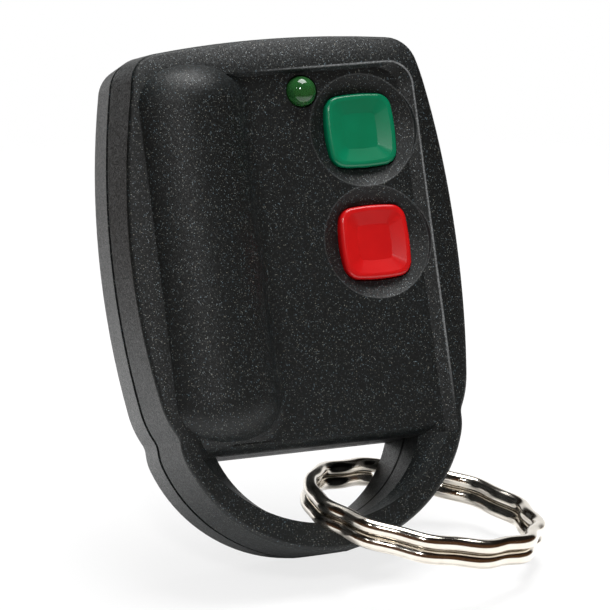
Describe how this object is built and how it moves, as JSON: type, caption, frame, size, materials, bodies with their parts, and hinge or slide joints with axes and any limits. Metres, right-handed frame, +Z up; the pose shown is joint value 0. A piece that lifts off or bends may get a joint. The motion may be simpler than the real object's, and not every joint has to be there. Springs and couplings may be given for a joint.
{
  "type": "alarm key fob",
  "caption": "Black two-button alarm key fob with a battery bulge, a green and a red button, an indicator light and a wavy split ring.",
  "frame": {"origin": "the middle of the small flat foot under the bow, on the plane where the two shells part", "axes": "+X to the right seen from the buttons' side, +Y to the rear through the flat back, +Z up from the bow to the top edge"},
  "size_m": [0.0393, 0.0228, 0.0537],
  "materials": {
    "shell": "spark-eroded black ABS",
    "green_button": "polished green",
    "red_button": "polished red",
    "led_lens": "clear green epoxy",
    "tinned_metal": "tinned",
    "board": "green solder mask on glass fibre",
    "solder": "bright",
    "steel": "nickel plated",
    "sleeve": "printed film",
    "moulding": "moulded",
    "ceramic_block": "fired",
    "copper": "enamelled copper",
    "screw": "black zinc plated",
    "ring": "nickel plated spring wire"
  },
  "bodies": {
    "case": {"front_shell": "shell", "rear_shell": "shell", "led_lens": "led_lens", "led_leads": "tinned_metal", "circuit_board": "board", "solder_joints": "solder", "battery_can": "steel", "battery_sleeve": "sleeve", "battery_positive_cap": "steel", "battery_spring": "steel", "battery_negative_contact": "steel", "battery_positive_contact": "steel", "encoder_chip": "moulding", "encoder_chip_leads": "tinned_metal", "resonator": "steel", "transistor": "moulding", "trimmer_capacitor": "ceramic_block", "antenna_loop": "copper", "chip_resistors": "moulding", "chip_capacitors": "ceramic_block", "case_screw": "screw", "green_switch_base": "moulding", "green_switch_cover": "steel", "green_switch_dome": "steel", "green_switch_legs": "tinned_metal", "red_switch_base": "moulding", "red_switch_cover": "steel", "red_switch_dome": "steel", "red_switch_legs": "tinned_metal"},
    "green_button": {"green_button": "green_button", "green_switch_plunger": "moulding"},
    "red_button": {"red_button": "red_button", "red_switch_plunger": "moulding"},
    "key_ring": {"key_ring": "ring"}
  },
  "joints": [
    {"name": "green_button_press", "type": "slide", "parent": "case", "child": "green_button", "axis": [0, 1, 0], "range_m": [0, 0.00035], "stiffness_N_per_m": 2500, "springref_m": -0.0003, "deforming": ["green_switch_dome"]},
    {"name": "red_button_press", "type": "slide", "parent": "case", "child": "red_button", "axis": [0, 1, 0], "range_m": [0, 0.00035], "stiffness_N_per_m": 2500, "springref_m": -0.0003, "deforming": ["red_switch_dome"]},
    {"name": "key_ring_swing", "type": "hinge", "parent": "case", "child": "key_ring", "pos_m": [0, -0.0031, 0.013], "axis": [0, 1, 0], "range_deg": [-7, 50]}
  ]
}
